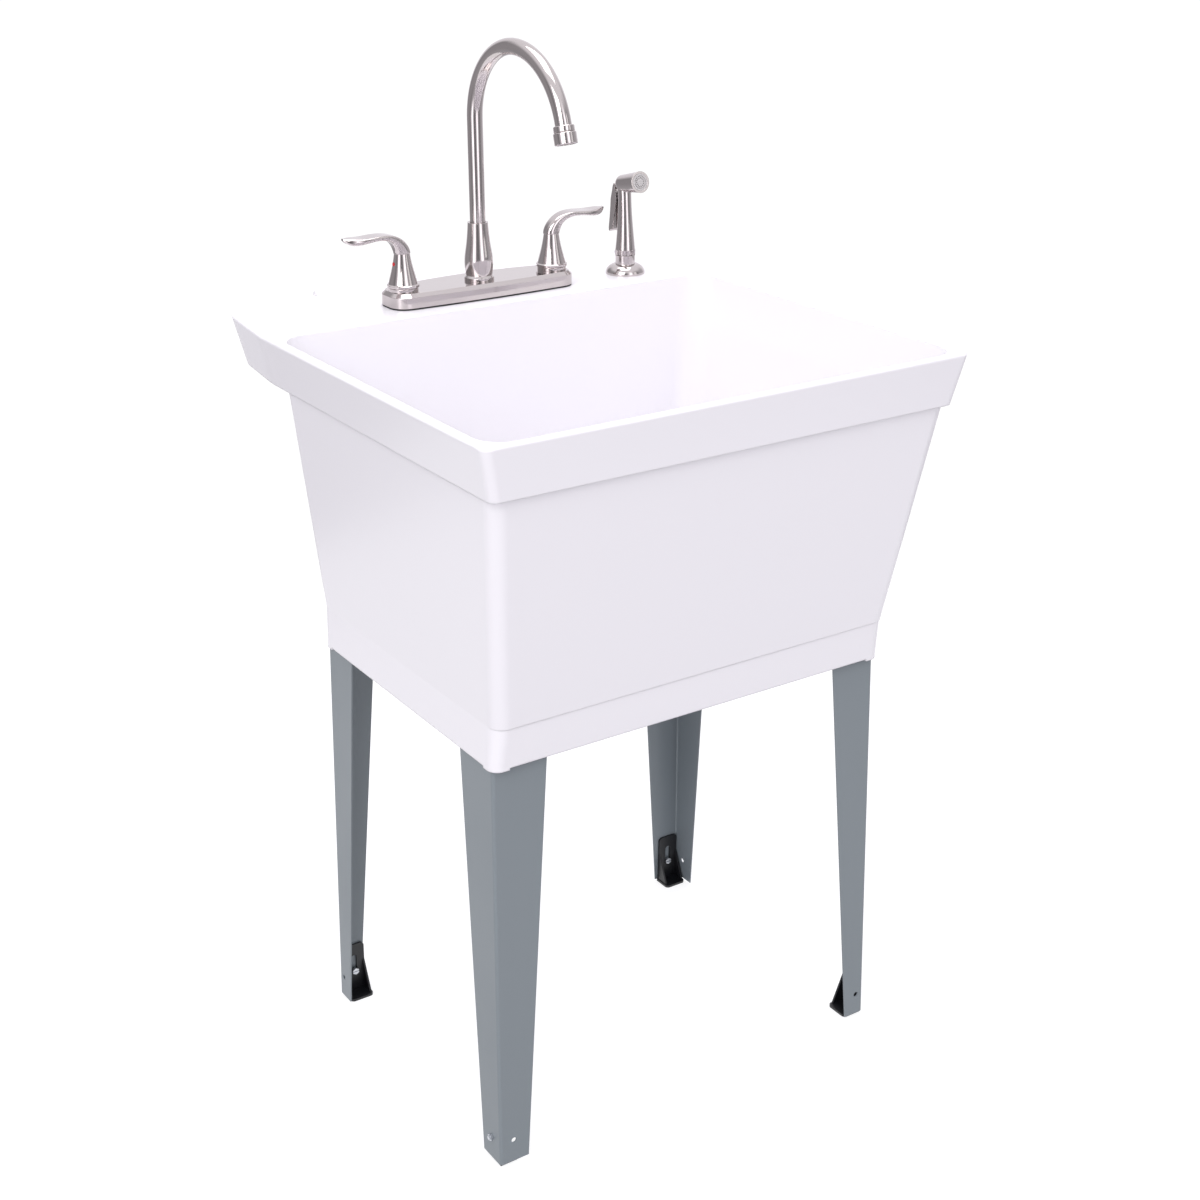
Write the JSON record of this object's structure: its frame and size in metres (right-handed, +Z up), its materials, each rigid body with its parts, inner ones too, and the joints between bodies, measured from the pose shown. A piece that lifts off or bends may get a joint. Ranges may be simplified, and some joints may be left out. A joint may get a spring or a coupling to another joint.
{
  "type": "utility laundry sink",
  "caption": "Freestanding plastic laundry tub with a wide back ledge on splayed pressed-steel legs, with a two-handle gooseneck faucet, pull-out side sprayer and plug drain.",
  "frame": {"origin": "on the floor, under the centre of the tub's rim", "axes": "+X to the user's right along the front edge, +Y from the user to the wall, +Z up"},
  "size_m": [0.5956, 0.634, 1.1613],
  "materials": {
    "tub_plastic": "glossy moulded",
    "leg_paint": "satin powder coat",
    "foot_black": "satin black",
    "zinc": "zinc plated",
    "brushed_nickel": "brushed nickel",
    "black_rubber": "matte",
    "brass": "machined",
    "steel": "plain",
    "white_plastic": "moulded",
    "black_plastic": "moulded",
    "red_mark": "gloss",
    "blue_mark": "gloss"
  },
  "bodies": {
    "sink": {"cartridge_seats": "black_rubber", "cold_cartridge": "white_plastic", "deck_gasket": "black_rubber", "deck_plate": "brushed_nickel", "diverter": "white_plastic", "drain_coupling_nut": "white_plastic", "drain_gasket": "black_rubber", "drain_locknut": "white_plastic", "drain_strainer": "steel", "drain_washer": "black_plastic", "faucet_body": "brass", "foot_nuts": "zinc", "foot_screws": "zinc", "handle_collars": "brushed_nickel", "hot_cartridge": "white_plastic", "leg_back_left": "leg_paint", "leg_back_right": "leg_paint", "leg_front_left": "leg_paint", "leg_front_right": "leg_paint", "shank_nuts": "white_plastic", "shank_washers": "black_plastic", "spout_hub": "brushed_nickel", "spout_nut": "brass", "sprayer_holder": "brushed_nickel", "sprayer_holder_nut": "white_plastic", "sprayer_holder_washer": "black_plastic", "sprayer_hose_nipple": "brass", "tailpiece": "white_plastic", "tailpiece_washer": "black_rubber", "tub": "tub_plastic"},
    "spout": {"spout_tube": "brushed_nickel", "spout_sleeve": "brass", "spout_o_rings": "black_rubber", "aerator_adapter": "brushed_nickel", "aerator_housing": "brushed_nickel", "aerator_insert": "white_plastic"},
    "hot_handle": {"hot_handle_base": "brushed_nickel", "hot_lever": "brushed_nickel", "hot_stem": "brass", "hot_handle_screw": "steel", "hot_index_button": "red_mark"},
    "cold_handle": {"cold_handle_base": "brushed_nickel", "cold_lever": "brushed_nickel", "cold_stem": "brass", "cold_handle_screw": "steel", "cold_index_button": "blue_mark"},
    "sprayer": {"sprayer_body": "brushed_nickel", "sprayer_coupling": "brushed_nickel", "sprayer_nozzle": "black_plastic", "sprayer_gland": "black_plastic", "sprayer_spring": "steel", "sprayer_trigger_pin": "steel"},
    "trigger": {"sprayer_trigger": "brushed_nickel"},
    "plunger": {"sprayer_plunger": "steel"},
    "stopper": {"drain_stopper": "black_rubber"},
    "foot_front_left": {"foot_front_left": "foot_black"},
    "foot_front_right": {"foot_front_right": "foot_black"},
    "foot_back_left": {"foot_back_left": "foot_black"},
    "foot_back_right": {"foot_back_right": "foot_black"}
  },
  "joints": [
    {"name": "spout_swivel", "type": "hinge", "parent": "sink", "child": "spout", "pos_m": [0, 0.2035, 0.9], "axis": [0, 0, 1], "continuous": true},
    {"name": "hot_handle_turn", "type": "hinge", "parent": "sink", "child": "hot_handle", "pos_m": [-0.1016, 0.2035, 0.9], "axis": [0, 0, 1], "range_deg": [0, 90]},
    {"name": "cold_handle_turn", "type": "hinge", "parent": "sink", "child": "cold_handle", "pos_m": [0.1016, 0.2035, 0.9], "axis": [0, 0, 1], "range_deg": [-90, 0]},
    {"name": "sprayer_lift", "type": "slide", "parent": "sink", "child": "sprayer", "axis": [0, 0, 1], "range_m": [0, 0.12]},
    {"name": "trigger_squeeze", "type": "hinge", "parent": "sprayer", "child": "trigger", "pos_m": [0.21, 0.2125, 0.9675], "axis": [-1, 0, 0], "range_deg": [0, 10], "stiffness_Nm_per_rad": 2, "springref_deg": -2.86},
    {"name": "plunger_push", "type": "slide", "parent": "sprayer", "child": "plunger", "axis": [0, -1, 0], "range_m": [0, 0.0027]},
    {"name": "stopper_lift", "type": "slide", "parent": "sink", "child": "stopper", "axis": [0, 0, 1], "range_m": [0, 0.15]},
    {"name": "foot_front_left_level", "type": "slide", "parent": "sink", "child": "foot_front_left", "axis": [-0.018, 0, -0.9998], "range_m": [0, 0.02]},
    {"name": "foot_front_right_level", "type": "slide", "parent": "sink", "child": "foot_front_right", "axis": [0.018, 0, -0.9998], "range_m": [0, 0.02]},
    {"name": "foot_back_left_level", "type": "slide", "parent": "sink", "child": "foot_back_left", "axis": [0, 0.0255, -0.9997], "range_m": [0, 0.02]},
    {"name": "foot_back_right_level", "type": "slide", "parent": "sink", "child": "foot_back_right", "axis": [0, 0.0255, -0.9997], "range_m": [0, 0.02]}
  ],
  "couplings": [
    {"joint": "plunger_push", "follows": "trigger_squeeze", "m_per_rad": 0.01547}
  ]
}
